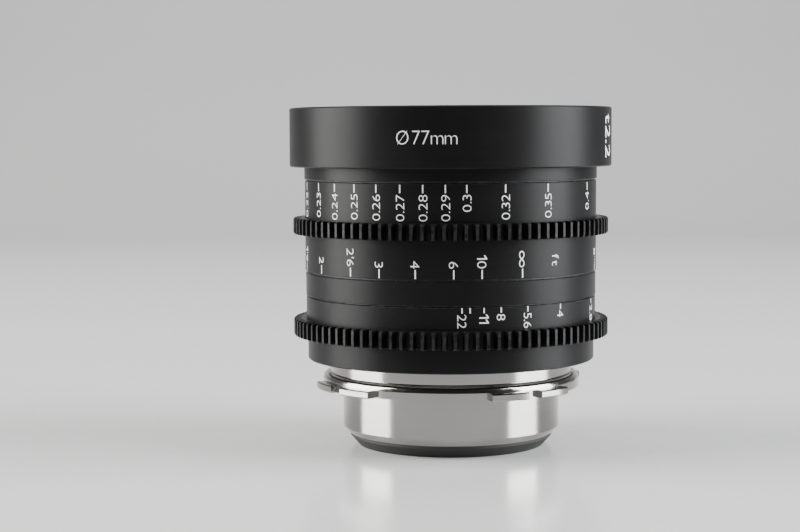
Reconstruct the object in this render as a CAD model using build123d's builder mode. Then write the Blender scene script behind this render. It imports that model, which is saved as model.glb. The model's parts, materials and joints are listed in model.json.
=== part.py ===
"""Cinema prime lens, standing on its rear end with the optical axis along +Z.

The origin is the centre of the face that the lens stands on. Angles are in degrees, counted
anticlockwise from +X as seen from the front of the lens. The camera side of the lens is -Y.
"""
from build123d import *
from math import asin, cos, degrees, hypot, radians, sin, sqrt
import os

os.makedirs("parts", exist_ok=True)

# Lengths along the axis, rear to front
shroud_depth = 3.0
shroud_bevel = 2.3
spigot_length = 11.8
spigot_taper = 1.7
flange_thickness = 1.8
mount_neck_length = 4.6
thick_shim = 0.25
thin_shim = 0.15
rear_barrel_length = 5.7
ring_gap = 0.3
iris_ring_length = 9.6
iris_gear_width = 4.2
index_collar_length = 5.8
focus_ring_length = 22.3
focus_gear_start = 9.2
focus_gear_width = 3.9
neck_ring_length = 3.1
front_ring_length = 14.5

# Walls of the rings, outside what each one runs or sits on
rear_barrel_wall = 3.3
iris_ring_wall = 3.57
index_collar_wall = 3.73
focus_ring_wall = 1.37
neck_ring_wall = 4.0
front_cup_width = 5.0
thread_shoulder = 1.1
front_ring_wall = 1.5

# Clearances and small edges
running_clearance = 0.08
seat_clearance = 0.02
edge_break = 0.3
fine_edge = 0.15
wide_gap = 0.4

# Breech mount: four ears, each with a locating notch
ear_count = 4
ear_angle = -55.8
ear_half_angle = 19.3
notch_half_angle = 3.2
notch_depth = 1.9
ear_reach = 2.4
mount_fillet = 1.8
mount_neck_wall = 0.55
spigot_wall = 3.0
spigot_taper_depth = 1.6
shroud_step = 0.2
shroud_bevel_depth = 2.0
mount_clearance = 4.0
shroud_clearance = 2.0
mount_screw_count = 6
mount_screw_land = 0.2
mount_screw_radius = 0.85
mount_screw_head = 1.6
mount_screw_angle = -60.0
screw_sink = 0.1
hex_radius = 0.55
hex_depth = 0.6
shroud_spigot = 6.0
shroud_wall = 1.8
spanner_slot_width = 1.6
spanner_slot_depth = 0.8

# Drive gears, 0.8 mm module
gear_module = 0.8
gear_stand = 2.15
tooth_tip_share = 0.27
tooth_root_share = 0.62
tooth_addendum_share = 1.0
tooth_dedendum_share = 1.25

# Fixed barrel and the carriage that slides in it
carriage_wall = 2.32
carriage_floor = 1.8
barrel_wall = 2.32
front_socket = 2.7
barrel_end_clearance = 0.45

# Travel of the rings from the rest pose, and of the carriage over the whole focus throw
focus_infinity_angle = 117.4
focus_near_angle = 200.5
iris_open_angle = 9.0
iris_closed_angle = 85.9
carriage_travel = 4.2

# Keys that carry the helicoid thread from the carriage to the sleeve
key_count = 3
key_angle = 30.0
key_height = 6.0
key_margin = 3.0
key_half_angle = 7.0
key_stand = 3.4
key_screw_radius = 0.8
key_screw_head = 1.5
key_screw_head_depth = 1.0
key_screw_grip = 1.2
helicoid_wall = 1.4
helicoid_end_clearance = 0.25

# Stop screws and the channels that they run in
focus_stop_radius = 1.0
focus_stop_height = 3.7
focus_stop_angle = 75.0
iris_stop_radius = 0.8
iris_stop_height = 2.0
iris_stop_angle = 0.0
stop_reach = 1.9
stop_angle_clearance = 0.3

# Washers between the rings
washer_thickness = 0.2
washer_inset = 0.7

# Front ring, its filter thread and the light trap behind it
filter_thread_length = 4.5
trap_wall = 1.0
trap_length = 6.4
trap_steps = 6
trap_height_share = 0.8
index_mark_width = 0.35
index_mark_depth = 0.15

# Iris blades
blade_count = 8
open_radius = 10.5
closed_radius = 1.05
blade_width = 7.0
blade_thickness = 0.15
blade_pitch = 0.3
blade_span_angle = 115.0
blade_heel_angle = 4.0
pivot_offset = 3.0
pivot_radius = 0.5
pivot_grip = 1.2
blade_lug_radius = 1.5
arm_length = 11.0
arm_lug_radius = 0.9
blade_pin_radius = 0.4
slot_clearance = 0.2
pivot_clearance = 0.06

# Iris housing in the carriage
iris_base_thickness = 1.5
iris_base_bore = 11.0
iris_rim_gap = 0.2
cam_ring_thickness = 1.7
cam_ring_wall = 1.6
cam_ring_lip = 0.9
cam_running_gap = 0.1
iris_cover_thickness = 1.2
drive_pin_radius = 0.7
drive_pin_reach = 1.8
drive_pin_grip = 1.3
groove_wall = 0.6
drive_angle = 90.0

# Optical elements, front to rear: radii of their surfaces, centre thickness and edge radius
front_element_thickness = 2.0
front_element_front = 60.0
front_element_rear = 30.0
front_element_rim = 4.0
second_element_radius = 17.0
second_element_thickness = 1.8
second_element_front = 50.0
second_element_rear = 22.0
second_element_rim = 3.0
middle_radius = 13.5
middle_rim = 1.3
third_element_edge = 3.8
third_element_front = 40.0
third_element_rear = 50.0
fourth_element_edge = 1.25
fourth_element_front = 30.0
fourth_element_rear = 60.0
rear_radius = 11.5
rear_rim = 1.2
fifth_element_thickness = 1.5
fifth_element_front = 35.0
cemented_surface = 30.0
cement = 0.02
sixth_element_thickness = 7.0
sixth_element_rear = 25.0
seventh_element_thickness = 5.0
seventh_element_front = 60.0
seventh_element_rear = 35.0
eighth_element_thickness = 1.8
eighth_element_front = 40.0
eighth_element_rear = 60.0

# Cells and the rings that hold the elements
fourth_element_lift = 5.2
middle_air_gap = 4.0
second_seat_lift = 1.7
second_retainer_length = 1.65
front_head_step = 1.0
front_retainer_length = 5.78
front_head_wall = 1.6
front_seat_width = 3.4
front_retainer_wall = 1.6
front_retainer_mouth = 2.0
front_retainer_inset = 1.4
cell_foot = 2.0
cell_waist_wall = 6.0
cell_shoulder = 3.0
rear_cell_wall = 4.0
rear_cell_flange = 4.5
rear_cell_flange_thickness = 1.8
rear_cell_lip = 1.3
rear_cell_tail = 0.6
rear_air_gap = 0.97
last_air_gap = 1.6
rear_retainer_length = 2.4
cell_screw_count = 3
cell_screw_radius = 0.8
cell_screw_head = 1.4
cell_screw_head_depth = 0.9

# Heights of the faces that the pieces meet at
seat_height = shroud_depth + spigot_length
neck_height = seat_height + flange_thickness
shim_height = neck_height + mount_neck_length
rear_barrel_height = shim_height + thick_shim + thin_shim
rear_barrel_top = rear_barrel_height + rear_barrel_length
iris_ring_height = rear_barrel_top + ring_gap
iris_ring_top = iris_ring_height + iris_ring_length
collar_height = iris_ring_top + ring_gap
collar_top = collar_height + index_collar_length
focus_ring_height = collar_top + ring_gap
focus_ring_top = focus_ring_height + focus_ring_length
neck_ring_height = focus_ring_top + ring_gap
front_ring_height = neck_ring_height + neck_ring_length
front_ring_top = front_ring_height + front_ring_length
barrel_top = front_ring_height + front_socket

# Iris angles: one blade's swing, and its ratio to the iris ring
pivot_circle = open_radius + blade_width + pivot_offset
blade_swing = 2 * degrees(asin((open_radius - closed_radius) / (2 * pivot_circle)))
iris_throw = iris_open_angle + iris_closed_angle
blade_ratio = blade_swing / iris_throw
blade_rest_angle = blade_ratio * iris_open_angle
blade_arm_angle = -90.0 - blade_swing / 2


def pin_place(iris_angle):
    """Place of a blade's drive pin, in the frame of the cam ring, when the iris ring is at an angle."""
    swing = radians(blade_arm_angle + blade_ratio * (iris_angle + iris_open_angle))
    across = pivot_circle + arm_length * cos(swing)
    along = arm_length * sin(swing)
    turn = radians(-iris_angle)
    return (across * cos(turn) - along * sin(turn), across * sin(turn) + along * cos(turn))


# Radii from the iris outwards to the rings that turn on the guide barrel
slot_radius = blade_pin_radius + slot_clearance
arm_inner_reach = hypot(*pin_place(-iris_open_angle))
arm_outer_reach = hypot(*pin_place(iris_closed_angle))
cam_ring_bore = arm_inner_reach - slot_radius - cam_ring_lip
cam_ring_radius = pivot_circle + arm_length / 2 + cam_ring_wall
carriage_bore = cam_ring_radius + running_clearance
carriage_radius = carriage_bore + carriage_wall
barrel_bore = carriage_radius + running_clearance
barrel_radius = barrel_bore + barrel_wall
ring_bore = barrel_radius + running_clearance
stop_pin_end = ring_bore + stop_reach
stop_channel_radius = stop_pin_end + slot_clearance
key_radius = carriage_radius + key_stand
helicoid_bore = key_radius + running_clearance
helicoid_radius = helicoid_bore + helicoid_wall
rear_barrel_radius = barrel_radius + rear_barrel_wall
iris_ring_radius = ring_bore + iris_ring_wall
index_collar_radius = barrel_radius + index_collar_wall
focus_ring_radius = helicoid_radius + focus_ring_wall
neck_ring_radius = barrel_radius + neck_ring_wall
front_bore_radius = barrel_radius + front_cup_width
filter_thread_radius = front_bore_radius + thread_shoulder
front_ring_radius = filter_thread_radius + front_ring_wall

# Radii of the glass and of the cells, and of the mount around the rear cell
front_head_radius = carriage_radius - front_head_step
retainer_radius = front_head_radius - front_head_wall
front_element_radius = retainer_radius - front_seat_width
front_element_clear = front_element_radius - front_element_rim
second_element_clear = second_element_radius - second_element_rim
middle_clear = middle_radius - middle_rim
rear_clear = rear_radius - rear_rim
rear_cell_radius = rear_radius + rear_cell_wall
rear_flange_radius = rear_cell_radius + rear_cell_flange
shroud_bore_radius = rear_cell_radius + shroud_clearance
mount_bore_radius = rear_flange_radius + mount_clearance
spigot_radius = mount_bore_radius + spigot_wall
spigot_tip_radius = spigot_radius - spigot_taper_depth
shroud_radius = spigot_tip_radius - shroud_step
shroud_foot_radius = shroud_radius - shroud_bevel_depth
mount_screw_circle = spigot_radius + mount_screw_head + mount_screw_land
mount_neck_radius = mount_screw_circle + mount_screw_radius + mount_neck_wall
flange_radius = mount_neck_radius + mount_fillet
ear_radius = flange_radius + ear_reach

# Gear sizes: the tooth count is what fits the pitch circle
gear_pitch_radius = focus_ring_radius + gear_stand
gear_tip_radius = gear_pitch_radius + gear_module * tooth_addendum_share
gear_root_radius = gear_pitch_radius - gear_module * tooth_dedendum_share
tooth_count = round(2 * gear_pitch_radius / gear_module)

# The carriage at rest, and how far it slides each way
focus_throw = focus_infinity_angle + focus_near_angle
rear_travel = carriage_travel * focus_infinity_angle / focus_throw
front_travel = carriage_travel * focus_near_angle / focus_throw

# Iris and carriage heights, worked out rearwards from the groove in the iris ring
drive_pin_height = iris_ring_top - groove_wall - slot_clearance - drive_pin_radius - front_travel
cam_ring_height = drive_pin_height - cam_ring_thickness / 2
cam_ring_top = cam_ring_height + cam_ring_thickness
iris_cover_height = cam_ring_top + cam_running_gap
iris_cover_top = iris_cover_height + iris_cover_thickness
iris_rim_top = cam_ring_height - cam_running_gap
blade_stack_top = iris_rim_top - iris_rim_gap
blade_height = blade_stack_top - blade_pitch * (blade_count - 1) - blade_thickness
iris_base_top = blade_height - blade_pitch + blade_thickness
carriage_floor_top = iris_base_top - iris_base_thickness
carriage_height = carriage_floor_top - carriage_floor
barrel_seat = carriage_height - rear_travel - barrel_end_clearance

# Helicoid heights, from the front of the focus ring rearwards
key_top = focus_ring_top - helicoid_end_clearance - front_travel
key_low = key_top - key_height
helicoid_low = key_low - rear_travel - helicoid_end_clearance
carriage_top = key_top + key_margin

BASE = (Align.CENTER, Align.CENTER, Align.MIN)


def rise(surface_radius, distance):
    """Height of a spherical surface's rim over its vertex, at a distance from the axis."""
    return surface_radius - sqrt(surface_radius**2 - distance**2)


def turned(points):
    """Face of an outline of (radius, height) points, ready to revolve about the axis."""
    with BuildSketch(Plane.XZ) as outline:
        with BuildLine():
            Polyline(*points, close=True)
        make_face()
    return outline.sketch


def tube(inner, outer, low, high):
    """Face of a plain tube's wall, ready to revolve about the axis."""
    return turned([(inner, low), (outer, low), (outer, high), (inner, high)])


def sector(height, inner, outer, start, sweep):
    """Face of an annular sector at a height."""
    with BuildSketch(Plane.XY.offset(height)) as face:
        with BuildLine():
            outer_arc = CenterArc((0, 0), outer, start, sweep)
            inner_arc = CenterArc((0, 0), inner, start, sweep)
            Line(outer_arc @ 0, inner_arc @ 0)
            Line(outer_arc @ 1, inner_arc @ 1)
        make_face()
    return face.sketch


def element(front_vertex, front_surface, rear_vertex, rear_surface, edge, front_clear, rear_clear_radius):
    """Face of half a lens element. A surface is positive where its middle stands towards the front.

    Each surface runs out to its clear radius and goes on flat to the edge.
    """
    front_rim = front_vertex - rise(abs(front_surface), front_clear) * (1 if front_surface > 0 else -1)
    rear_rim = rear_vertex - rise(abs(rear_surface), rear_clear_radius) * (1 if rear_surface > 0 else -1)
    with BuildSketch(Plane.XZ) as half:
        with BuildLine():
            Line((0, rear_vertex), (0, front_vertex))
            share = rise(abs(front_surface), front_clear / 2) / rise(abs(front_surface), front_clear)
            middle = front_vertex - (front_vertex - front_rim) * share
            ThreePointArc((0, front_vertex), (front_clear / 2, middle), (front_clear, front_rim))
            share = (rise(abs(rear_surface), rear_clear_radius / 2)
                     / rise(abs(rear_surface), rear_clear_radius))
            middle = rear_vertex - (rear_vertex - rear_rim) * share
            ThreePointArc((0, rear_vertex), (rear_clear_radius / 2, middle), (rear_clear_radius, rear_rim))
            if front_clear < edge:
                Line((front_clear, front_rim), (edge, front_rim))
            if rear_clear_radius < edge:
                Line((rear_clear_radius, rear_rim), (edge, rear_rim))
            Line((edge, rear_rim), (edge, front_rim))
        make_face()
    return half.sketch


def radial_plane(direction, radius, height):
    """Plane that faces outwards at a direction, radius and height."""
    outward = (cos(radians(direction)), sin(radians(direction)), 0)
    return Plane(origin=(radius * outward[0], radius * outward[1], height), x_dir=(0, 0, 1), z_dir=outward)


def radial_disc(direction, radius, height, size):
    """Face of a disc that looks outwards, ready to extrude into a radial pin or hole."""
    with BuildSketch(radial_plane(direction, radius, height)) as disc:
        Circle(size)
    return disc.sketch


def angle_across(distance, radius):
    """Angle that a distance covers at a radius."""
    return degrees(distance / radius)


def gear_outline(height):
    """Face of a drive gear's toothed outline at a height, with straight tooth flanks."""
    step = 360.0 / tooth_count
    corners = [(gear_root_radius, -tooth_root_share / 2), (gear_tip_radius, -tooth_tip_share / 2),
               (gear_tip_radius, tooth_tip_share / 2), (gear_root_radius, tooth_root_share / 2)]
    points = [(radius * cos(radians(step * (tooth + share))), radius * sin(radians(step * (tooth + share))))
              for tooth in range(tooth_count) for radius, share in corners]
    with BuildSketch(Plane.XY.offset(height)) as outline:
        with BuildLine():
            Polyline(*points, close=True)
        make_face()
    return outline.sketch


def edge_trim(radius, depth, height, upward):
    """Face of the ring that chamfers a rim of the given radius at a height."""
    reach = radius + depth
    turn = 1 if upward else -1
    return turned([(radius - depth, height), (reach, height), (reach, height - 2 * depth * turn)])


# Rear shroud, which screws into the mount's bore and holds the last baffle
with BuildPart() as rear_shroud:
    revolve(turned([
        (shroud_bore_radius, 0), (shroud_foot_radius, 0), (shroud_radius, shroud_bevel),
        (shroud_radius, shroud_depth), (mount_bore_radius - seat_clearance, shroud_depth),
        (mount_bore_radius - seat_clearance, shroud_depth + shroud_spigot),
        (mount_bore_radius - shroud_wall, shroud_depth + shroud_spigot),
        (mount_bore_radius - shroud_wall, shroud_depth), (shroud_bore_radius,
        shroud_depth - spanner_slot_depth)]),
        axis=Axis.Z)
    with BuildSketch(Plane.XY) as slots:
        with PolarLocations((shroud_bore_radius + shroud_foot_radius) / 2, 2):
            Rectangle(shroud_wall, spanner_slot_width)
    extrude(slots.sketch, amount=spanner_slot_depth, mode=Mode.SUBTRACT)
rear_shroud.part.label = "rear_shroud"

# Breech mount: spigot, flange with ears, and the waisted neck that carries it
with BuildPart() as breech_mount:
    revolve(tube(mount_bore_radius, flange_radius, seat_height, neck_height), axis=Axis.Z)
    with BuildSketch(Plane.XY.offset(seat_height)) as ears:
        for ear in range(ear_count):
            direction = ear_angle + 360.0 * ear / ear_count
            add(sector(0, mount_neck_radius, ear_radius, direction - ear_half_angle, 2 * ear_half_angle))
            add(sector(0, ear_radius - notch_depth, ear_radius + notch_depth,
                       direction - notch_half_angle, 2 * notch_half_angle), mode=Mode.SUBTRACT)
    extrude(ears.sketch, amount=flange_thickness)
    for top in (False, True):
        rim = neck_height if top else seat_height
        revolve(edge_trim(ear_radius, edge_break, rim, top), axis=Axis.Z, mode=Mode.SUBTRACT)
    revolve(turned([
        (mount_bore_radius, shroud_depth), (spigot_tip_radius, shroud_depth),
        (spigot_radius, shroud_depth + spigot_taper), (spigot_radius, seat_height),
        (mount_bore_radius, seat_height)]), axis=Axis.Z)
    with BuildSketch(Plane.XZ) as neck:
        with BuildLine():
            Polyline((flange_radius, neck_height), (mount_bore_radius, neck_height),
                     (mount_bore_radius, shim_height), (mount_neck_radius, shim_height),
                     (mount_neck_radius, neck_height + mount_fillet))
            RadiusArc((mount_neck_radius, neck_height + mount_fillet), (flange_radius, neck_height),
                mount_fillet)
        make_face()
    revolve(neck.sketch, axis=Axis.Z)
    with PolarLocations(mount_screw_circle, mount_screw_count, start_angle=mount_screw_angle):
        with Locations((0, 0, seat_height)):
            Cylinder(mount_screw_radius + seat_clearance, shim_height - seat_height, align=BASE,
                     mode=Mode.SUBTRACT)
            Cone(mount_screw_head + screw_sink, mount_screw_radius, mount_screw_head + screw_sink
                 - mount_screw_radius, align=BASE, mode=Mode.SUBTRACT)
breech_mount.part.label = "breech_mount"

# Two shims between the mount and the rear barrel, which set the back focus
with BuildPart() as mount_shim_thick:
    revolve(tube(mount_bore_radius, flange_radius, shim_height, shim_height + thick_shim), axis=Axis.Z)
    with PolarLocations(mount_screw_circle, mount_screw_count, start_angle=mount_screw_angle):
        with Locations((0, 0, shim_height)):
            Cylinder(mount_screw_radius + seat_clearance, thick_shim, align=BASE, mode=Mode.SUBTRACT)
mount_shim_thick.part.label = "mount_shim_thick"

with BuildPart() as mount_shim_thin:
    revolve(tube(mount_bore_radius, flange_radius, shim_height + thick_shim, rear_barrel_height), axis=Axis.Z)
    with PolarLocations(mount_screw_circle, mount_screw_count, start_angle=mount_screw_angle):
        with Locations((0, 0, shim_height + thick_shim)):
            Cylinder(mount_screw_radius + seat_clearance, thin_shim, align=BASE, mode=Mode.SUBTRACT)
mount_shim_thin.part.label = "mount_shim_thin"

# Countersunk screws that hold the mount to the rear barrel
mount_screw_end = barrel_seat - wide_gap
with BuildPart() as mount_screws:
    with PolarLocations(mount_screw_circle, mount_screw_count, start_angle=mount_screw_angle):
        with Locations((0, 0, seat_height + screw_sink)):
            Cylinder(mount_screw_radius, mount_screw_end - seat_height - screw_sink, align=BASE)
            Cone(mount_screw_head, mount_screw_radius, mount_screw_head - mount_screw_radius, align=BASE)
    with BuildSketch(Plane.XY.offset(seat_height + screw_sink)) as sockets:
        with PolarLocations(mount_screw_circle, mount_screw_count, start_angle=mount_screw_angle):
            RegularPolygon(hex_radius, 6)
    extrude(sockets.sketch, amount=hex_depth, mode=Mode.SUBTRACT)
mount_screws.part.label = "mount_screws"

# Rear barrel: the black ring behind the iris ring, with the floor that the guide barrel stands on
with BuildPart() as rear_barrel:
    revolve(turned([
        (mount_bore_radius, rear_barrel_height), (rear_barrel_radius - edge_break, rear_barrel_height),
        (rear_barrel_radius, rear_barrel_height + edge_break), (rear_barrel_radius,
        rear_barrel_top - fine_edge),
        (rear_barrel_radius - fine_edge, rear_barrel_top), (barrel_radius, rear_barrel_top),
        (barrel_radius, barrel_seat), (mount_bore_radius, barrel_seat)]), axis=Axis.Z)
    with PolarLocations(mount_screw_circle, mount_screw_count, start_angle=mount_screw_angle):
        with Locations((0, 0, rear_barrel_height)):
            Cylinder(mount_screw_radius, mount_screw_end - rear_barrel_height, align=BASE, mode=Mode.SUBTRACT)
rear_barrel.part.label = "rear_barrel"

# Guide barrel, fixed to the rear barrel: axial slots for the keys, and a window for the iris drive pin
key_directions = [key_angle + 360.0 * key / key_count for key in range(key_count)]
slot_half_angle = key_half_angle + angle_across(running_clearance, barrel_bore)
pin_half_angle = angle_across(drive_pin_radius + slot_clearance, carriage_bore)
pin_window_reach = drive_pin_radius + slot_clearance
focus_stop_level = focus_ring_height + focus_stop_height
iris_stop_level = iris_ring_height + iris_stop_height
with BuildPart() as guide_barrel:
    revolve(tube(barrel_bore, barrel_radius, barrel_seat, barrel_top), axis=Axis.Z)
    for direction in key_directions:
        extrude(sector(key_low - rear_travel - slot_clearance, carriage_bore, front_ring_radius,
                       direction - slot_half_angle, 2 * slot_half_angle),
                amount=key_height + carriage_travel + 2 * slot_clearance, mode=Mode.SUBTRACT)
    extrude(sector(drive_pin_height - rear_travel - pin_window_reach, carriage_bore, front_ring_radius,
                   drive_angle - iris_open_angle - pin_half_angle, iris_throw + 2 * pin_half_angle),
            amount=carriage_travel + 2 * pin_window_reach, mode=Mode.SUBTRACT)
    extrude(radial_disc(focus_stop_angle, carriage_bore, focus_stop_level, focus_stop_radius),
            amount=front_ring_radius - carriage_bore, mode=Mode.SUBTRACT)
    extrude(radial_disc(iris_stop_angle, carriage_bore, iris_stop_level, iris_stop_radius),
            amount=front_ring_radius - carriage_bore, mode=Mode.SUBTRACT)
guide_barrel.part.label = "guide_barrel"

with BuildPart() as focus_stop_screw:
    extrude(radial_disc(focus_stop_angle, barrel_bore + edge_break, focus_stop_level, focus_stop_radius),
            amount=stop_pin_end - barrel_bore - edge_break)
focus_stop_screw.part.label = "focus_stop_screw"

with BuildPart() as iris_stop_screw:
    extrude(radial_disc(iris_stop_angle, barrel_bore + edge_break, iris_stop_level, iris_stop_radius),
            amount=stop_pin_end - barrel_bore - edge_break)
iris_stop_screw.part.label = "iris_stop_screw"

# Fixed collar between the rings, with the feet index on one side and the iris index on the other
mark_half_angle = angle_across(index_mark_width / 2, index_collar_radius)
with BuildPart() as index_collar:
    revolve(turned([
        (barrel_radius, collar_height), (index_collar_radius - fine_edge, collar_height),
        (index_collar_radius, collar_height + fine_edge), (index_collar_radius, collar_top - edge_break),
        (index_collar_radius - edge_break, collar_top), (barrel_radius, collar_top)]), axis=Axis.Z)
    extrude(sector((collar_height + collar_top) / 2, index_collar_radius - index_mark_depth,
                   front_ring_radius, 180.0 - mark_half_angle, 2 * mark_half_angle),
            amount=index_collar_length, mode=Mode.SUBTRACT)
    extrude(sector(collar_height, index_collar_radius - index_mark_depth, front_ring_radius,
                   -mark_half_angle, 2 * mark_half_angle),
            amount=index_collar_length / 2, mode=Mode.SUBTRACT)
index_collar.part.label = "index_collar"

# Thrust washers in the gaps beside the two rings
with BuildPart() as iris_rear_washer:
    revolve(tube(barrel_radius, rear_barrel_radius - washer_inset, rear_barrel_top,
                 rear_barrel_top + washer_thickness), axis=Axis.Z)
iris_rear_washer.part.label = "iris_rear_washer"

with BuildPart() as iris_front_washer:
    revolve(tube(barrel_radius, iris_ring_radius - washer_inset, collar_height - washer_thickness,
                 collar_height), axis=Axis.Z)
iris_front_washer.part.label = "iris_front_washer"

with BuildPart() as focus_rear_washer:
    revolve(tube(barrel_radius, index_collar_radius - washer_inset, collar_top,
                 collar_top + washer_thickness), axis=Axis.Z)
focus_rear_washer.part.label = "focus_rear_washer"

with BuildPart() as focus_front_washer:
    revolve(tube(barrel_radius, focus_ring_radius - washer_inset, neck_ring_height - washer_thickness,
                 neck_ring_height), axis=Axis.Z)
focus_front_washer.part.label = "focus_front_washer"

# Neck ring in front of the focus ring, with the metre index
with BuildPart() as neck_ring:
    revolve(turned([
        (barrel_radius, neck_ring_height), (neck_ring_radius - fine_edge, neck_ring_height),
        (neck_ring_radius, neck_ring_height + fine_edge), (neck_ring_radius, front_ring_height),
        (barrel_radius, front_ring_height)]), axis=Axis.Z)
    extrude(sector(neck_ring_height, neck_ring_radius - index_mark_depth, front_ring_radius,
                   -mark_half_angle, 2 * mark_half_angle),
            amount=neck_ring_length, mode=Mode.SUBTRACT)
neck_ring.part.label = "neck_ring"

# Front ring: a cup with the filter thread in its mouth, drawn as a plain bore at the thread's major radius
thread_low = front_ring_top - filter_thread_length
with BuildPart() as front_ring:
    revolve(turned([
        (barrel_radius, front_ring_height), (front_ring_radius - edge_break, front_ring_height),
        (front_ring_radius, front_ring_height + edge_break), (front_ring_radius, front_ring_top - edge_break),
        (front_ring_radius - edge_break, front_ring_top), (filter_thread_radius + edge_break, front_ring_top),
        (filter_thread_radius, front_ring_top - edge_break), (filter_thread_radius, thread_low),
        (front_bore_radius, thread_low), (front_bore_radius, barrel_top), (barrel_radius, barrel_top)]),
        axis=Axis.Z)
front_ring.part.label = "front_ring"

# Stepped light trap between the front ring and the moving front cell
trap_radius = front_bore_radius - seat_clearance
trap_bore = front_head_radius + wide_gap
trap_rim = trap_radius - trap_wall
trap_top = barrel_top + trap_length
step_run = (trap_rim - trap_bore) / (trap_steps - 1)
step_drop = trap_length * trap_height_share / trap_steps
stairs = []
for step in range(trap_steps):
    stairs.append((trap_rim - step * step_run, trap_top - step * step_drop))
    stairs.append((trap_rim - step * step_run, trap_top - (step + 1) * step_drop))
with BuildPart() as light_trap:
    revolve(turned([*stairs, (trap_bore, barrel_top), (trap_radius, barrel_top), (trap_radius, trap_top)]),
            axis=Axis.Z)
light_trap.part.label = "light_trap"

# Focus ring with its gear, a pocket for the helicoid sleeve and a channel for the stop screw
focus_stop_half = angle_across(focus_stop_radius, barrel_radius) + stop_angle_clearance
focus_gear_height = focus_ring_height + focus_gear_start
with BuildPart() as focus_ring:
    extrude(gear_outline(focus_gear_height), amount=focus_gear_width)
    for upward in (False, True):
        face_height = focus_gear_height + focus_gear_width * upward
        revolve(edge_trim(gear_tip_radius, edge_break, face_height, upward), axis=Axis.Z, mode=Mode.SUBTRACT)
    with BuildSketch(Plane.XY.offset(focus_gear_height)) as hole:
        Circle((helicoid_radius + focus_ring_radius) / 2)
    extrude(hole.sketch, amount=focus_gear_width, mode=Mode.SUBTRACT)
    revolve(turned([
        (ring_bore, focus_ring_height), (focus_ring_radius - fine_edge, focus_ring_height),
        (focus_ring_radius, focus_ring_height + fine_edge), (focus_ring_radius, focus_ring_top - fine_edge),
        (focus_ring_radius - fine_edge, focus_ring_top), (helicoid_radius, focus_ring_top),
        (helicoid_radius, helicoid_low), (ring_bore, helicoid_low)]), axis=Axis.Z)
    extrude(sector(focus_stop_level - focus_stop_radius - slot_clearance, barrel_bore, stop_channel_radius,
                   focus_stop_angle - focus_near_angle - focus_stop_half, focus_throw + 2 * focus_stop_half),
            amount=2 * (focus_stop_radius + slot_clearance), mode=Mode.SUBTRACT)
focus_ring.part.label = "focus_ring"

# Bronze sleeve in the focus ring, whose thread moves the keys. The thread is drawn as a plain bore
with BuildPart() as helicoid_sleeve:
    revolve(tube(helicoid_bore, helicoid_radius, helicoid_low, focus_ring_top), axis=Axis.Z)
helicoid_sleeve.part.label = "helicoid_sleeve"

# Iris ring with its gear, an axial groove for the drive pin and a channel for the stop screw
iris_stop_half = angle_across(iris_stop_radius, barrel_radius) + stop_angle_clearance
groove_half_angle = angle_across(drive_pin_radius + running_clearance, ring_bore)
drive_pin_end = ring_bore + drive_pin_reach
with BuildPart() as iris_ring:
    extrude(gear_outline(iris_ring_height), amount=iris_gear_width)
    for upward in (False, True):
        face_height = iris_ring_height + iris_gear_width * upward
        revolve(edge_trim(gear_tip_radius, edge_break, face_height, upward), axis=Axis.Z, mode=Mode.SUBTRACT)
    with BuildSketch(Plane.XY.offset(iris_ring_height)) as hole:
        Circle(ring_bore)
    extrude(hole.sketch, amount=iris_gear_width, mode=Mode.SUBTRACT)
    revolve(turned([
        (ring_bore, iris_ring_height + iris_gear_width), (iris_ring_radius,
        iris_ring_height + iris_gear_width),
        (iris_ring_radius, iris_ring_top - fine_edge), (iris_ring_radius - fine_edge, iris_ring_top),
        (ring_bore, iris_ring_top)]), axis=Axis.Z)
    extrude(sector(drive_pin_height - rear_travel - pin_window_reach, barrel_bore,
                   drive_pin_end + slot_clearance, drive_angle - groove_half_angle, 2 * groove_half_angle),
            amount=carriage_travel + 2 * pin_window_reach, mode=Mode.SUBTRACT)
    extrude(sector(iris_stop_level - iris_stop_radius - slot_clearance, barrel_bore, stop_channel_radius,
                   iris_stop_angle - iris_closed_angle - iris_stop_half, iris_throw + 2 * iris_stop_half),
            amount=2 * (iris_stop_radius + slot_clearance), mode=Mode.SUBTRACT)
iris_ring.part.label = "iris_ring"

# Carriage: the tube that carries all the glass and the iris, and slides in the guide barrel
cell_screw_circle = rear_cell_radius + rear_cell_flange / 2
cell_flange_low = carriage_height - rear_cell_flange_thickness
with BuildPart() as carriage:
    revolve(turned([
        (rear_cell_radius + seat_clearance, carriage_height), (carriage_radius, carriage_height),
        (carriage_radius, carriage_top), (carriage_bore, carriage_top), (carriage_bore, carriage_floor_top),
        (rear_cell_radius + seat_clearance, carriage_floor_top)]), axis=Axis.Z)
    extrude(sector(drive_pin_height - pin_window_reach, cam_ring_bore, front_ring_radius,
                   drive_angle - iris_open_angle - pin_half_angle, iris_throw + 2 * pin_half_angle),
            amount=2 * pin_window_reach, mode=Mode.SUBTRACT)
    for direction in key_directions:
        extrude(radial_disc(direction, carriage_radius - key_screw_grip, (key_low + key_top) / 2,
                            key_screw_radius), amount=key_stand, mode=Mode.SUBTRACT)
    with PolarLocations(cell_screw_circle, cell_screw_count):
        with Locations((0, 0, carriage_height)):
            Cylinder(cell_screw_radius, carriage_floor - fine_edge, align=BASE, mode=Mode.SUBTRACT)
carriage.part.label = "carriage"

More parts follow.
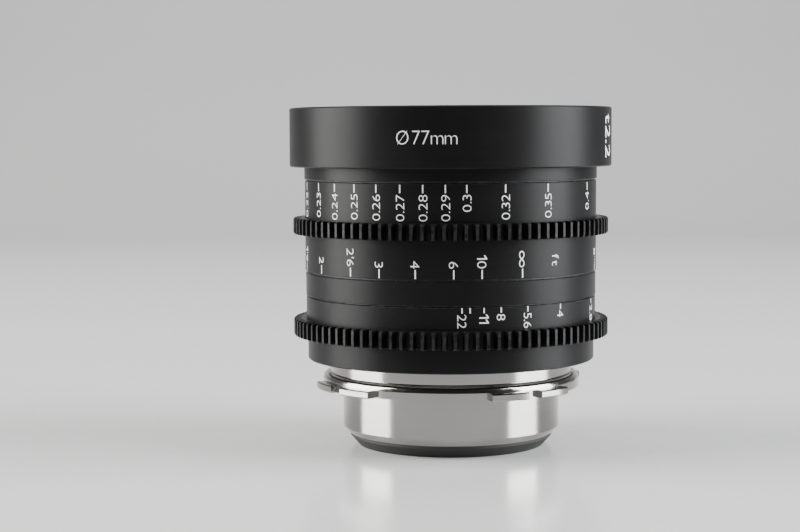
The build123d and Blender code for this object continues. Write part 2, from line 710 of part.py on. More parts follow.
# Three keys that stand through the guide barrel's slots into the sleeve, and their screws
key_head_seat = key_radius - fine_edge - key_screw_head_depth
with BuildPart() as helicoid_keys:
    for direction in key_directions:
        extrude(sector(key_low, carriage_radius, key_radius, direction - key_half_angle, 2 * key_half_angle),
                amount=key_height)
        extrude(radial_disc(direction, carriage_bore, (key_low + key_top) / 2, key_screw_radius),
                amount=front_ring_radius - carriage_bore, mode=Mode.SUBTRACT)
        extrude(radial_disc(direction, key_head_seat, (key_low + key_top) / 2, key_screw_head),
                amount=front_ring_radius - key_head_seat, mode=Mode.SUBTRACT)
helicoid_keys.part.label = "helicoid_keys"

with BuildPart() as key_screws:
    for direction in key_directions:
        extrude(radial_disc(direction, carriage_radius - key_screw_grip, (key_low + key_top) / 2,
                            key_screw_radius), amount=key_head_seat - carriage_radius + key_screw_grip)
        extrude(radial_disc(direction, key_head_seat, (key_low + key_top) / 2,
                            key_screw_head - seat_clearance), amount=key_screw_head_depth)
key_screws.part.label = "key_screws"

# Iris base: the plate that the blades pivot in, with a rim that carries the cam ring
iris_rim_bore = arm_outer_reach + arm_lug_radius + slot_clearance
iris_radius = carriage_bore - seat_clearance
with BuildPart() as iris_base:
    revolve(turned([
        (iris_base_bore, carriage_floor_top), (iris_radius, carriage_floor_top), (iris_radius, iris_rim_top),
        (iris_rim_bore, iris_rim_top), (iris_rim_bore, iris_base_top), (iris_base_bore, iris_base_top)]),
        axis=Axis.Z)
    with PolarLocations(pivot_circle, blade_count):
        with Locations((0, 0, carriage_floor_top)):
            Cylinder(pivot_radius + pivot_clearance, iris_base_thickness, align=BASE, mode=Mode.SUBTRACT)
iris_base.part.label = "iris_base"

# Blades, each on its own level: a crescent, a lug with the pivot pin, and an arm with the drive pin
blades = []
for index in range(blade_count):
    direction = 360.0 * index / blade_count
    level = blade_height + blade_pitch * index
    pivot = (pivot_circle * cos(radians(direction)), pivot_circle * sin(radians(direction)))
    forward = radians(direction + blade_rest_angle)
    arm_tip = (arm_length * cos(radians(blade_arm_angle)), arm_length * sin(radians(blade_arm_angle)))
    blade_plane = Plane(origin=(*pivot, level), x_dir=(cos(forward), sin(forward), 0), z_dir=(0, 0, 1))
    pin_bottom = iris_base_top - pivot_grip
    pin_top = cam_ring_top - slot_clearance
    with BuildPart() as iris_blade:
        with BuildSketch(blade_plane) as outline:
            with Locations((-pivot_circle, 0)):
                add(sector(0, open_radius, open_radius + blade_width, -blade_heel_angle,
                           blade_span_angle + blade_heel_angle))
            with Locations((-pivot_offset, 0)):
                Rectangle(2 * pivot_offset, 2 * blade_lug_radius)
            Circle(blade_lug_radius)
            with Locations((arm_tip[0] / 2, arm_tip[1] / 2)):
                SlotCenterToCenter(arm_length, 2 * arm_lug_radius, rotation=blade_arm_angle)
        extrude(outline.sketch, amount=blade_thickness)
        with BuildSketch(blade_plane.offset(pin_bottom - level)) as pivot_pin:
            Circle(pivot_radius)
        extrude(pivot_pin.sketch, amount=level - pin_bottom)
        with BuildSketch(blade_plane.offset(blade_thickness)) as drive_pin:
            with Locations(arm_tip):
                Circle(blade_pin_radius)
        extrude(drive_pin.sketch, amount=pin_top - level - blade_thickness)
    iris_blade.part.label = f"iris_blade_{index + 1}"
    blades.append(iris_blade)

# Cam ring, whose curved slots swing the blades
with BuildPart() as iris_cam_ring:
    revolve(tube(cam_ring_bore, cam_ring_radius, cam_ring_height, cam_ring_top), axis=Axis.Z)
    with BuildLine() as slot_path:
        ThreePointArc(pin_place(-iris_open_angle), pin_place((iris_closed_angle - iris_open_angle) / 2),
                      pin_place(iris_closed_angle))
    with BuildSketch(Plane.XY.offset(cam_ring_height)) as cam_slots:
        with PolarLocations(0, blade_count):
            SlotArc(slot_path.edges()[0], 2 * slot_radius)
    extrude(cam_slots.sketch, amount=cam_ring_thickness, mode=Mode.SUBTRACT)
    extrude(radial_disc(drive_angle, cam_ring_radius - drive_pin_grip, drive_pin_height, drive_pin_radius),
            amount=carriage_wall, mode=Mode.SUBTRACT)
iris_cam_ring.part.label = "iris_cam_ring"

# Drive pin, which carries the iris ring's turn through both windows to the cam ring
with BuildPart() as iris_drive_pin:
    extrude(radial_disc(drive_angle, cam_ring_radius - drive_pin_grip, drive_pin_height, drive_pin_radius),
            amount=drive_pin_end - cam_ring_radius + drive_pin_grip)
iris_drive_pin.part.label = "iris_drive_pin"

with BuildPart() as iris_cover:
    revolve(tube(cam_ring_bore - cam_ring_lip, iris_radius, iris_cover_height, iris_cover_top), axis=Axis.Z)
iris_cover.part.label = "iris_cover"

# Vertices of the front group, worked out from the iris forwards
fourth_rear = iris_cover_top + fourth_element_lift
fourth_front = (fourth_rear + rise(fourth_element_rear, middle_radius) + fourth_element_edge
                + rise(fourth_element_front, middle_radius))
third_rear = fourth_front + middle_air_gap
third_front = (third_rear + rise(third_element_rear, middle_radius) + third_element_edge
               + rise(third_element_front, middle_radius))
second_seat = third_front + second_seat_lift
second_rear = second_seat + rise(second_element_rear, second_element_clear)
second_front = second_rear + second_element_thickness
second_retainer_bore = second_element_radius - front_retainer_wall
second_retainer_low = second_front - rise(second_element_front, second_retainer_bore)
front_seat = second_retainer_low + second_retainer_length + fine_edge
front_rear = front_seat + rise(front_element_rear, front_element_clear)
front_front = front_rear + front_element_thickness
front_rim = front_front - rise(front_element_front, front_element_radius)
retainer_bore = front_element_radius - front_retainer_inset
retainer_low = front_front - rise(front_element_front, retainer_bore)
front_cell_top = retainer_low + front_retainer_length

with BuildPart() as front_element:
    revolve(element(front_front, front_element_front, front_rear, front_element_rear, front_element_radius,
                    front_element_radius, front_element_clear), axis=Axis.Z)
front_element.part.label = "front_element"

with BuildPart() as second_element:
    revolve(element(second_front, second_element_front, second_rear, second_element_rear,
                    second_element_radius, second_element_radius, second_element_clear), axis=Axis.Z)
second_element.part.label = "second_element"

with BuildPart() as third_element:
    revolve(element(third_front, third_element_front, third_rear, -third_element_rear, middle_radius,
                    middle_radius, middle_radius), axis=Axis.Z)
third_element.part.label = "third_element"

with BuildPart() as fourth_element:
    revolve(element(fourth_front, fourth_element_front, fourth_rear, -fourth_element_rear, middle_radius,
                    middle_radius, middle_radius), axis=Axis.Z)
fourth_element.part.label = "fourth_element"

# Front cell: the stepped tube that holds the front four elements
fourth_seat = fourth_rear + rise(fourth_element_rear, middle_clear)
cell_waist = second_element_radius + cell_waist_wall / 2
with BuildPart() as front_cell:
    revolve(turned([
        (middle_clear, iris_cover_top), (iris_radius, iris_cover_top),
        (iris_radius, iris_cover_top + cell_foot),
        (cell_waist, iris_cover_top + cell_foot), (cell_waist, carriage_top - cell_shoulder),
        (iris_radius, carriage_top - cell_shoulder), (iris_radius, carriage_top),
        (front_head_radius, carriage_top), (front_head_radius, front_cell_top - edge_break),
        (front_head_radius - edge_break, front_cell_top), (retainer_radius, front_cell_top),
        (retainer_radius, front_rim), (front_element_radius + seat_clearance, front_rim),
        (front_element_radius + seat_clearance, front_seat),
        (second_element_radius + seat_clearance, front_seat),
        (second_element_radius + seat_clearance, second_seat), (middle_radius + seat_clearance, second_seat),
        (middle_radius + seat_clearance, fourth_seat), (middle_clear, fourth_seat)]), axis=Axis.Z)
front_cell.part.label = "front_cell"

# Retaining ring of the front element, whose mouth opens as a cone
with BuildPart() as front_retainer:
    revolve(turned([
        (retainer_bore, retainer_low), (retainer_radius - seat_clearance, retainer_low),
        (retainer_radius - seat_clearance, front_cell_top),
        (retainer_radius - front_retainer_wall, front_cell_top),
        (retainer_bore, retainer_low + front_retainer_mouth / 2)]), axis=Axis.Z)
front_retainer.part.label = "front_retainer"

with BuildPart() as second_retainer:
    revolve(tube(second_retainer_bore, second_element_radius, second_retainer_low,
                 second_retainer_low + second_retainer_length), axis=Axis.Z)
second_retainer.part.label = "second_retainer"

with BuildPart() as third_retainer:
    revolve(tube(middle_clear, middle_radius, third_front - rise(third_element_front, middle_clear),
                 second_seat - fine_edge), axis=Axis.Z)
third_retainer.part.label = "third_retainer"

with BuildPart() as middle_spacer:
    revolve(tube(middle_clear, middle_radius, fourth_front - rise(fourth_element_front, middle_clear),
                 third_rear + rise(third_element_rear, middle_clear)), axis=Axis.Z)
middle_spacer.part.label = "middle_spacer"

# Vertices of the rear group, worked out from the rear cell's lip rearwards
rear_cell_top = carriage_floor_top - cam_running_gap
fifth_seat = rear_cell_top - rear_cell_lip
fifth_front = fifth_seat - rise(fifth_element_front, rear_clear)
fifth_rear = fifth_front - fifth_element_thickness
sixth_front = fifth_rear - cement
sixth_rear = sixth_front - sixth_element_thickness
seventh_front = sixth_rear - rear_air_gap
seventh_rear = seventh_front - seventh_element_thickness
eighth_front = seventh_rear - last_air_gap
eighth_rear = eighth_front - eighth_element_thickness
rear_retainer_top = eighth_rear + rise(eighth_element_rear, rear_clear)
rear_cell_low = rear_retainer_top - rear_retainer_length - rear_cell_tail

with BuildPart() as fifth_element:
    revolve(element(fifth_front, -fifth_element_front, fifth_rear, cemented_surface, rear_radius,
                    rear_clear, rear_radius), axis=Axis.Z)
fifth_element.part.label = "fifth_element"

with BuildPart() as sixth_element:
    revolve(element(sixth_front, cemented_surface, sixth_rear, -sixth_element_rear, rear_radius,
                    rear_radius, rear_radius), axis=Axis.Z)
sixth_element.part.label = "sixth_element"

with BuildPart() as seventh_element:
    revolve(element(seventh_front, seventh_element_front, seventh_rear, -seventh_element_rear, rear_radius,
                    rear_radius, rear_radius), axis=Axis.Z)
seventh_element.part.label = "seventh_element"

with BuildPart() as eighth_element:
    revolve(element(eighth_front, -eighth_element_front, eighth_rear, -eighth_element_rear, rear_radius,
                    rear_clear, rear_radius), axis=Axis.Z)
eighth_element.part.label = "eighth_element"

# Rear cell, screwed to the carriage floor from behind, with its spacers and retaining ring
with BuildPart() as rear_cell:
    revolve(turned([
        (rear_radius + seat_clearance, rear_cell_low), (rear_cell_radius, rear_cell_low),
        (rear_cell_radius, cell_flange_low), (rear_flange_radius, cell_flange_low),
        (rear_flange_radius, carriage_height), (rear_cell_radius, carriage_height),
        (rear_cell_radius, rear_cell_top), (rear_clear, rear_cell_top), (rear_clear, fifth_seat),
        (rear_radius + seat_clearance, fifth_seat)]), axis=Axis.Z)
    with PolarLocations(cell_screw_circle, cell_screw_count):
        with Locations((0, 0, cell_flange_low)):
            Cylinder(cell_screw_radius, rear_cell_flange_thickness, align=BASE, mode=Mode.SUBTRACT)
rear_cell.part.label = "rear_cell"

with BuildPart() as doublet_spacer:
    revolve(tube(rear_clear, rear_radius, seventh_front - rise(seventh_element_front, rear_clear),
                 sixth_rear + rise(sixth_element_rear, rear_clear)), axis=Axis.Z)
doublet_spacer.part.label = "doublet_spacer"

with BuildPart() as rear_spacer:
    revolve(tube(rear_clear, rear_radius, eighth_front + rise(eighth_element_front, rear_clear),
                 seventh_rear + rise(seventh_element_rear, rear_clear)), axis=Axis.Z)
rear_spacer.part.label = "rear_spacer"

with BuildPart() as rear_retainer:
    revolve(tube(rear_clear, rear_radius, rear_retainer_top - rear_retainer_length, rear_retainer_top),
            axis=Axis.Z)
rear_retainer.part.label = "rear_retainer"

with BuildPart() as rear_cell_screws:
    with PolarLocations(cell_screw_circle, cell_screw_count):
        with Locations((0, 0, cell_flange_low)):
            Cylinder(cell_screw_radius, rear_cell_flange_thickness + carriage_floor - fine_edge, align=BASE)
        with Locations((0, 0, cell_flange_low - cell_screw_head_depth)):
            Cylinder(cell_screw_head, cell_screw_head_depth, align=BASE)
rear_cell_screws.part.label = "rear_cell_screws"

pieces = [
    rear_shroud, breech_mount, mount_shim_thick, mount_shim_thin, mount_screws, rear_barrel, guide_barrel,
    index_collar, iris_rear_washer, iris_front_washer, focus_rear_washer, focus_front_washer, neck_ring,
    front_ring, light_trap, focus_stop_screw, iris_stop_screw, focus_ring, helicoid_sleeve, iris_ring,
    carriage, helicoid_keys, key_screws, iris_base, iris_cam_ring, iris_drive_pin, iris_cover, *blades,
    front_cell, front_retainer, front_element, second_retainer, second_element, third_retainer,
    third_element, middle_spacer, fourth_element, rear_cell, rear_cell_screws, fifth_element, sixth_element,
    doublet_spacer, seventh_element, rear_spacer, eighth_element, rear_retainer]
for piece in pieces:
    export_step(piece.part, f"parts/{piece.part.label}.step")
print("blade ratio", round(blade_ratio, 5), "carriage travel", round(-rear_travel, 3), round(front_travel, 3))
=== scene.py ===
"""A cinema prime lens standing on its mount: finishes, scales, thread ridges and a soft studio."""
import json
import logging
import math
from dataclasses import dataclass, field
from enum import Enum
from typing import Any, Optional, Sequence, Union

import bmesh
import bpy
from mathutils import Matrix, Vector


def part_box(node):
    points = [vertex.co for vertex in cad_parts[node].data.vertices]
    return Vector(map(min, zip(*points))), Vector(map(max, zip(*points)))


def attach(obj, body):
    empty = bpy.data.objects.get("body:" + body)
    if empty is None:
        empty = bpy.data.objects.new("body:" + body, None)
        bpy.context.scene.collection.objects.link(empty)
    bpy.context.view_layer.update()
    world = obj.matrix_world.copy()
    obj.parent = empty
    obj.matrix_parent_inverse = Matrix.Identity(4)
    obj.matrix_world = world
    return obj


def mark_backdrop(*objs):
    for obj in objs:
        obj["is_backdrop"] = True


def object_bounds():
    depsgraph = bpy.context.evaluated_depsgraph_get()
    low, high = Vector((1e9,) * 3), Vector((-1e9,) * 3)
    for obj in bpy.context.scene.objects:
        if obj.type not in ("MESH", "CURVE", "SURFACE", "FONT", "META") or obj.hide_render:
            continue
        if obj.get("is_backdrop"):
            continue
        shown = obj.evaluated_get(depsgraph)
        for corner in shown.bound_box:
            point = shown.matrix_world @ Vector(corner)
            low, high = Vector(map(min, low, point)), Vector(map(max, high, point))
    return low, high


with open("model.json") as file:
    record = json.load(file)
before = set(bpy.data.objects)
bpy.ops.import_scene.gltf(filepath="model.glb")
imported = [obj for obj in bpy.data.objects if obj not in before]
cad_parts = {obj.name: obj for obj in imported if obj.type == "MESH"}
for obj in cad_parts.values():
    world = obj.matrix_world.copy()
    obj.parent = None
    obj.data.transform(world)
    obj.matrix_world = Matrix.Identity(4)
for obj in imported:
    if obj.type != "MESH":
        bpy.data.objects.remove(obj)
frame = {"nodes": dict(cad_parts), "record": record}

log = logging.getLogger("lens")
Colour = tuple[float, float, float]

MM = 0.001
# Height of a capital in the plain font at size one, and the signs drawn larger than in it
FONT_CAP = 0.73
ENLARGED = {"∞": 1.18}
# The figure one: its stem in mm; as shares of its height, the flag's width, tip and root
FLAGGED_ONE_STEM = 0.32
FLAGGED_ONE_WIDTH = 0.24
FLAG_HEIGHT = 0.80
FLAG_ROOT = 0.95
# Width of the strips that a letter is bent in, and the gap that is closed between corners, in mm
STRIP = 0.5
MERGE = 0.0005


class Grain(Enum):
    """How the surface of a piece was finished."""

    TURNED = "fine rings round the axis"
    BLASTED = "even fine grain"
    POLISHED = "nearly smooth, with faint rings"
    MOULDED = "soft uneven skin"


class Reading(Enum):
    """Which way a word runs on a ring, seen from outside with the front of the lens up."""

    UP = "towards the front"
    DOWN = "towards the mount"
    ROUND = "round the ring"


@dataclass(frozen=True)
class Finish:
    """The look of one material.

    Args:
        name: name of the material.
        slot: material slot of the record that it stands for.
        dark: darker of the two base colours.
        light: lighter of the two base colours.
        metallic: how much of the surface is bare metal.
        smooth: lowest roughness.
        rough: highest roughness.
        grain: kind of surface structure.
        pitch: size of the structure, in mm.
        relief: height of the structure, in mm.
        wear: how much lighter the colour gets in worn patches.
        anisotropic: stretch of the highlights.
        gloss: strength of the reflections, where a half is that of glass.
        edges: heights of the turned edges that handling has rubbed and that carry a painted highlight, in mm
            above the foot.
        rubbed_sheen_from: radius outside which the edges are rubbed and painted lighter as a highlight, in
            mm.
        tips_from: radius outside which the gear teeth are rubbed and painted lighter as a highlight, in mm.
        brim_from: radius outside which the front ring's edges are rubbed and painted lighter as a highlight,
            in mm.
        brim_above: height above which the front ring lies, in mm.
        reach: how far from an edge the rubbing and the painted highlight go, in mm.
        rubbed_sheen: colour of a rubbed edge, lighter than the black both as wear and as a painted
            highlight.
    """

    name: str
    slot: str
    dark: Colour
    light: Colour
    metallic: float
    smooth: float
    rough: float
    grain: Grain
    pitch: float = 0.2
    relief: float = 0.002
    wear: float = 0.2
    anisotropic: float = 0.0
    gloss: float = 0.5
    edges: tuple[float, ...] = ()
    rubbed_sheen_from: float = 35.3
    tips_from: float = 38.95
    brim_from: float = 39.72
    brim_above: float = 69.0
    reach: float = 0.2
    # Lighter than the black anodising: edge wear, and a painted highlight along the edges
    rubbed_sheen: Colour = (0.060, 0.060, 0.062)


@dataclass(frozen=True)
class Coating:
    """The look of coated glass.

    Args:
        name: name of the material.
        clear: colour of the glass.
        rim: colour of the blackened edge.
        radius: radius of the element, in mm.
        film: thickness of the coating, in nanometres.
        blackened: width of the blackened edge, in mm.
    """

    name: str
    clear: Colour
    rim: Colour
    radius: float
    film: float
    blackened: float = 0.12


OUTER_RINGS = ("rear_barrel", "iris_ring", "index_collar", "focus_ring", "neck_ring", "front_ring")
# Heights of the rings' edges, which get edge wear and a painted highlight
RING_EDGES = tuple(corner.z / MM for ring in OUTER_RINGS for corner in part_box(ring))

ANODISED = Finish(
    "anodised", "black_anodised", (0.003, 0.003, 0.0033), (0.007, 0.007, 0.0075), 0.0, 0.30, 0.44,
    Grain.TURNED, pitch=0.42, relief=0.018, wear=0.2, gloss=0.11, edges=RING_EDGES)
GEAR_BLACK = Finish(
    "gear_black", "black_anodised", (0.004, 0.004, 0.0044), (0.009, 0.009, 0.0096), 0.0, 0.26, 0.38,
    Grain.BLASTED, pitch=0.5, relief=0.0015, wear=0.3, gloss=0.21)
INNER_BLACK = Finish(
    "inner_black", "inner_black", (0.005, 0.005, 0.005), (0.011, 0.011, 0.011), 0.0, 0.55, 0.8,
    Grain.BLASTED, pitch=0.3, relief=0.004, wear=0.2)
STEEL = Finish(
    "mount_steel", "mount_steel", (0.30, 0.293, 0.28), (0.41, 0.40, 0.385), 1.0, 0.08, 0.18,
    Grain.POLISHED, pitch=0.30, relief=0.0006, wear=0.06, anisotropic=0.4)
SHIM = Finish(
    "shim_steel", "shim_steel", (0.42, 0.41, 0.40), (0.55, 0.54, 0.52), 1.0, 0.25, 0.4,
    Grain.TURNED, pitch=0.4, relief=0.001, wear=0.1)
SCREW = Finish(
    "screw_steel", "screw_steel", (0.20, 0.20, 0.20), (0.34, 0.34, 0.33), 1.0, 0.22, 0.36,
    Grain.BLASTED, pitch=0.25, relief=0.001, wear=0.15)
BRONZE = Finish(
    "bronze", "bronze", (0.36, 0.22, 0.09), (0.50, 0.32, 0.14), 1.0, 0.26, 0.42,
    Grain.BLASTED, pitch=0.5, relief=0.002, wear=0.15)
PLASTIC = Finish(
    "washer_plastic", "washer_plastic", (0.024, 0.024, 0.025), (0.040, 0.040, 0.041), 0.0, 0.4, 0.55,
    Grain.MOULDED, pitch=1.2, relief=0.002, wear=0.1)
BLADE = Finish(
    "blade_steel", "blade_steel", (0.022, 0.022, 0.024), (0.045, 0.045, 0.048), 0.85, 0.34, 0.5,
    Grain.BLASTED, pitch=0.4, relief=0.001, wear=0.2)
PAINT = Finish(
    "marking_white", "black_anodised", (0.70, 0.70, 0.69), (0.84, 0.84, 0.83), 0.0, 0.42, 0.58,
    Grain.MOULDED, pitch=0.4, relief=0.003, wear=0.03)
NODE_FINISHES = (ANODISED, INNER_BLACK, STEEL, SHIM, SCREW, BRONZE, PLASTIC, BLADE)

# Grain: how the turned rings cross, and the share of each layer
CROSSING = 0.35
RINGS_SHARE = 0.6
ACROSS_SHARE = 0.25
SPECK_SHARE = 0.15
SPECK_FINENESS = 0.8
COARSE_SHARE = 0.7
FINE_SHARE = 0.3
FINE_FINENESS = 4.0
# Patches: bumps to the mm, where wear starts, and what grain and patches add to colour and roughness
PATCHES = 0.09
WORN_FROM = 0.45
WORN_CONTRAST = 3.0
COLOUR_GRAIN = 0.8
COLOUR_PATCHES = 0.4
COLOUR_OFFSET = 0.1
ROUGH_GRAIN = 0.6
ROUGH_PATCHES = 0.4
# Rubbed edges, painted lighter both as wear and as a highlight: bumps to the mm where they are chipped, how
# sharply they fade, and what rubbing does
CHIPS = 0.9
CHIPS_FROM = 0.36
CHIPS_CONTRAST = 4.0
RUBBED_SHEEN_FADE = 4.0
RUBBED_SHEEN_SHARE = 0.8
RUBBED_POLISH = 0.08
TIPS_FADE = 5.0
TIPS_SHARE = 0.35

# Glass: its index, its haze in bumps to the mm, and the roughness of the polish, the haze and the rim
GLASS_INDEX = 1.58
HAZE = 0.2
POLISH_ROUGH = 0.004
HAZE_ROUGH = 0.012
RIM_ROUGH = 0.4
# A coating of magnesium fluoride, with its thickness in nanometres
FILM_INDEX = 1.38
CLEAR_GLASS: Colour = (0.95, 0.96, 0.95)
BLACKENED_GLASS: Colour = (0.006, 0.006, 0.006)
COATING_FILMS = {
    "front_element": 430.0, "second_element": 360.0, "third_element": 400.0, "fourth_element": 350.0,
    "fifth_element": 380.0, "sixth_element": 410.0, "seventh_element": 370.0, "eighth_element": 480.0,
}


class Value:
    """A number or colour in a shader, which can be used in arithmetic.

    Args:
        shader: the shader that the value belongs to.
        socket: the output that carries it.
    """

    def __init__(self, shader: "Shader", socket: bpy.types.NodeSocket) -> None:
        """Wrap a socket."""
        self.shader = shader
        self.socket = socket

    def _maths(self, operation: str, first: Any, second: Any = 0.0) -> "Value":
        """Add a Math node and take its output."""
        return self.shader.value("ShaderNodeMath", {"operation": operation}, {0: first, 1: second})

    def __add__(self, other: Any) -> "Value":
        """The value plus another."""
        return self._maths("ADD", self, other)

    def __radd__(self, other: Any) -> "Value":
        """Another plus the value."""
        return self._maths("ADD", other, self)

    def __sub__(self, other: Any) -> "Value":
        """The value less another."""
        return self._maths("SUBTRACT", self, other)

    def __rsub__(self, other: Any) -> "Value":
        """Another less the value."""
        return self._maths("SUBTRACT", other, self)

    def __mul__(self, other: Any) -> "Value":
        """The value times another."""
        return self._maths("MULTIPLY", self, other)

    def __rmul__(self, other: Any) -> "Value":
        """Another times the value."""
        return self._maths("MULTIPLY", other, self)

    def __truediv__(self, other: Any) -> "Value":
        """The value over another."""
        return self._maths("DIVIDE", self, other)

    def __rtruediv__(self, other: Any) -> "Value":
        """Another over the value."""
        return self._maths("DIVIDE", other, self)

    def root(self) -> "Value":
        """Its square root."""
        return self._maths("SQRT", self)

    def size(self) -> "Value":
        """The value without its sign."""
        return self._maths("ABSOLUTE", self)

    def most(self, other: Any) -> "Value":
        """The larger of the value and another."""
        return self._maths("MAXIMUM", self, other)

    def within(self, low: float, high: float) -> "Value":
        """The value kept between two limits.

        Args:
            low: lowest result.
            high: highest result.

        Returns:
            The limited value.
        """
        return self._maths("MINIMUM", self.most(low), high)


class Shader:
    """One material and the nodes in it.

    Args:
        name: name of the material.
    """

    def __init__(self, name: str) -> None:
        """Start a material with one surface."""
        self.material = bpy.data.materials.new(name)
        self.material.use_nodes = True
        self.tree = self.material.node_tree
        self.tree.nodes.clear()
        self.surface = self.node("ShaderNodeBsdfPrincipled")
        self.node("ShaderNodeOutputMaterial", inputs={"Surface": self.surface.outputs["BSDF"]})

    def node(self, kind: str, settings: Optional[dict[str, Any]] = None,
             inputs: Optional[dict[Union[str, int], Any]] = None) -> bpy.types.Node:
        """Add a node.

        Args:
            kind: type of the node.
            settings: properties to set on it.
            inputs: what goes into its sockets, a value or a link for each name or number.

        Returns:
            The node.
        """
        made = self.tree.nodes.new(kind)
        for key, setting in (settings or {}).items():
            setattr(made, key, setting)
        for key, given in (inputs or {}).items():
            self.feed(made.inputs[key], given)
        return made

    def feed(self, socket: bpy.types.NodeSocket, given: Any) -> None:
        """Put a link, a number or a colour into a socket.

        Args:
            socket: the input that takes it.
            given: a Value, an output, a number or a colour.
        """
        if isinstance(given, Value):
            given = given.socket
        if isinstance(given, bpy.types.NodeSocket):
            self.tree.links.new(given, socket)
        elif isinstance(given, tuple) and socket.type == "RGBA":
            socket.default_value = (*given, 1.0)
        else:
            socket.default_value = given

    def value(self, kind: str, settings: dict[str, Any], inputs: dict[Union[str, int], Any],
              output: Union[str, int] = 0) -> Value:
        """Add a node and take one of its outputs.

        Args:
            kind: type of the node.
            settings: properties to set on it.
            inputs: what goes into its sockets.
            output: the output to take.

        Returns:
            That output, for use in arithmetic.
        """
        return Value(self, self.node(kind, settings, inputs).outputs[output])

    def place(self) -> tuple[Value, Value, Value]:
        """Where a point lies on the lens, in mm.

        Returns:
            Its x, y and z.
        """
        parts = self.node("ShaderNodeSeparateXYZ", inputs={
            "Vector": self.node("ShaderNodeTexCoord").outputs["Object"]})
        return tuple(Value(self, parts.outputs[axis]) / MM for axis in ("X", "Y", "Z"))

    def noise(self, x: Any, y: Any, z: Any, scale: float, detail: float = 2.0) -> Value:
        """Smooth noise between nought and one.

        Args:
            x: first coordinate.
            y: second coordinate.
            z: third coordinate.
            scale: how many bumps there are in one unit.
            detail: how many finer layers are added.

        Returns:
            The noise.
        """
        vector = self.value("ShaderNodeCombineXYZ", {}, {"X": x, "Y": y, "Z": z})
        return self.value("ShaderNodeTexNoise", {"noise_dimensions": "3D"},
                          {"Vector": vector, "Scale": scale, "Detail": detail}, "Fac")

    def blend(self, share: Any, first: Any, second: Any) -> Value:
        """A mix of two colours.

        Args:
            share: how much of the second colour there is.
            first: first colour.
            second: second colour.

        Returns:
            The mixed colour.
        """
        made = self.node("ShaderNodeMix", {"data_type": "RGBA"}, {0: share})
        self.feed(made.inputs[6], first)
        self.feed(made.inputs[7], second)
        return Value(self, made.outputs[2])

    def set(self, **inputs: Any) -> None:
        """Set inputs of the surface, with an underscore for each space in a name.

        Args:
            inputs: what goes into each socket.
        """
        for key, given in inputs.items():
            self.feed(self.surface.inputs[key.replace("_", " ")], given)


